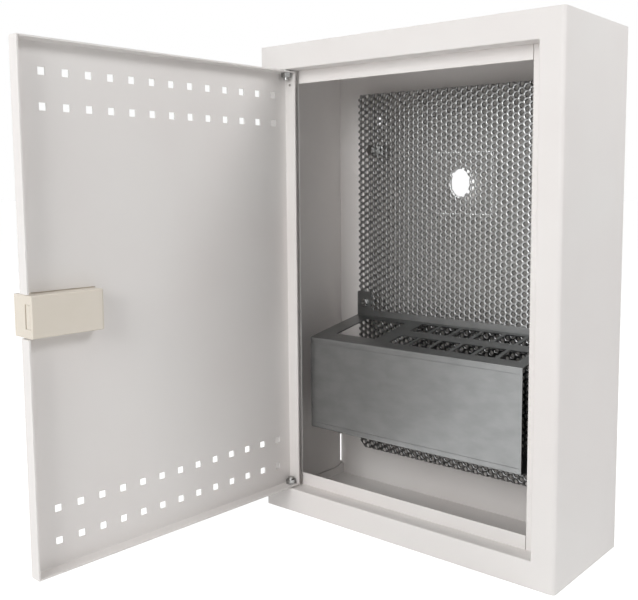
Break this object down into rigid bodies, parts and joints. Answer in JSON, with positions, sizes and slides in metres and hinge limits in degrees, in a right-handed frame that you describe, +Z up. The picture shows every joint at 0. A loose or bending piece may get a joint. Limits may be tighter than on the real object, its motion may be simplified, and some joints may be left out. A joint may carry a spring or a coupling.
{
  "type": "home wiring enclosure",
  "caption": "Shallow sheet-steel wall cabinet for home network wiring, with a hinged vented door, a slide latch, a perforated mounting plate and a sloping bracket for jacks.",
  "frame": {"origin": "centre of the underside of the box, without the open door", "axes": "+X to the right as seen facing the opening, +Y from the door side to the wall, +Z up"},
  "size_m": [0.3, 0.3569, 0.425],
  "materials": {
    "white_paint": "semi-gloss warm white powder coat",
    "plate_steel": "dull galvanised",
    "bracket_steel": "satin galvanised",
    "zinc_fastener": "bright zinc",
    "latch_plastic": "smooth warm off-white"
  },
  "bodies": {
    "cabinet": {"shell_wrap": "white_paint", "top_panel": "white_paint", "bottom_panel": "white_paint", "back_panel": "white_paint", "mounting_studs": "zinc_fastener", "stud_spacers": "zinc_fastener", "mounting_plate": "plate_steel", "plate_washers": "zinc_fastener", "plate_nuts": "zinc_fastener", "socket_bracket": "bracket_steel", "bracket_screws": "zinc_fastener", "bracket_nuts": "zinc_fastener"},
    "door": {"door_tray": "white_paint", "hinge_bolts": "zinc_fastener", "hinge_washers": "zinc_fastener", "hinge_nuts": "zinc_fastener", "latch_case": "latch_plastic"},
    "latch": {"latch_bolt": "latch_plastic", "latch_thumb": "latch_plastic"}
  },
  "joints": [
    {"name": "door_hinge", "type": "hinge", "parent": "cabinet", "child": "door", "pos_m": [-0.1226, -0.05, 0.2125], "axis": [0, 0, -1], "range_deg": [-92, 6.5]},
    {"name": "latch_slide", "type": "slide", "parent": "door", "child": "latch", "axis": [-0.0349, -0.9994, 0], "range_m": [0, 0.0065]}
  ]
}
